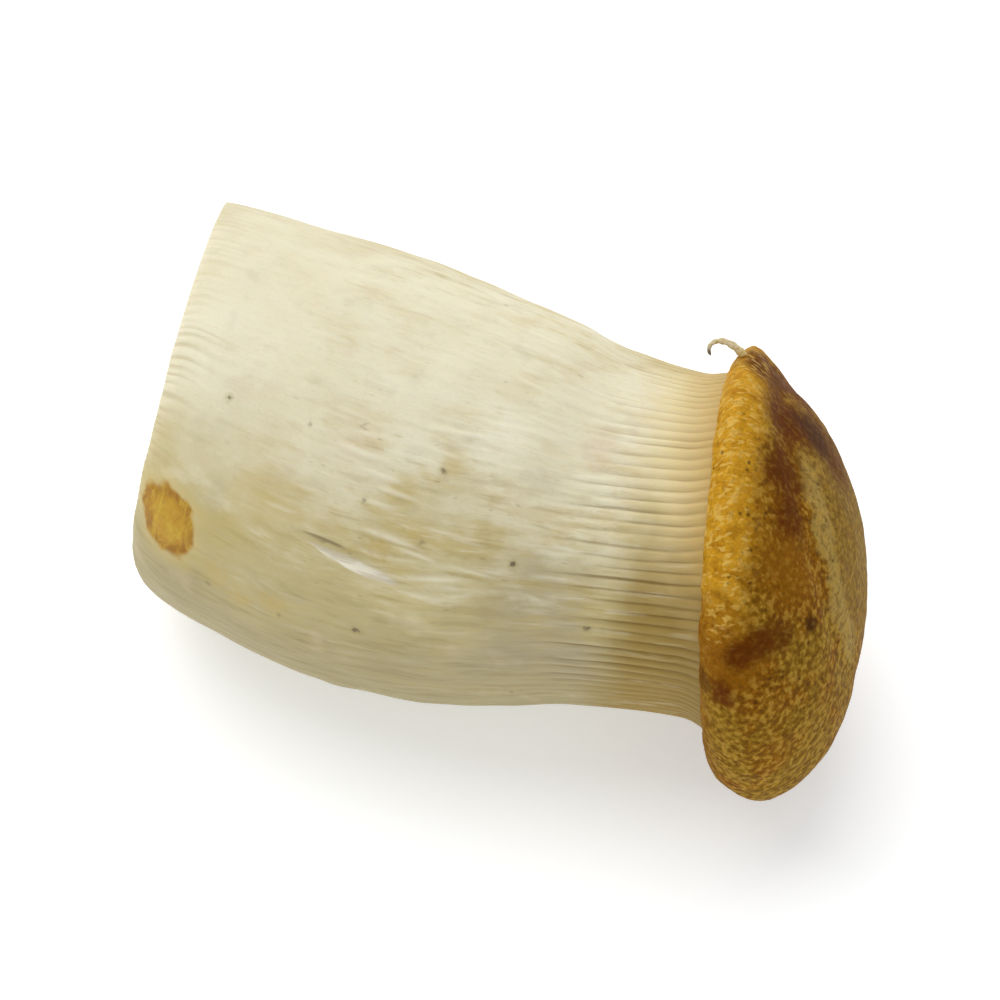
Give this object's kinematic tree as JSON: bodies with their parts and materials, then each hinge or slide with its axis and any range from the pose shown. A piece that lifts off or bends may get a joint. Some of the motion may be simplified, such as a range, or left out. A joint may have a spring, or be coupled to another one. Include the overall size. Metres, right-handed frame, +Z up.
{
  "type": "king oyster mushroom",
  "caption": "King oyster mushroom lying on its side: thick cream stem with a slanted knife cut at the foot, fine gills running down the neck, small brown domed cap with a rolled rim.",
  "frame": {"origin": "under the middle of the mushroom, on the surface that it lies on", "axes": "+Z up; +X along the stem from the cut foot to the cap; the side shown in the picture faces -Y"},
  "size_m": [0.0982, 0.0542, 0.0556],
  "materials": {
    "mushroom": "matt cream flesh, brown cap skin"
  },
  "bodies": {
    "root": {"king_oyster_mushroom": "mushroom"}
  },
  "joints": []
}
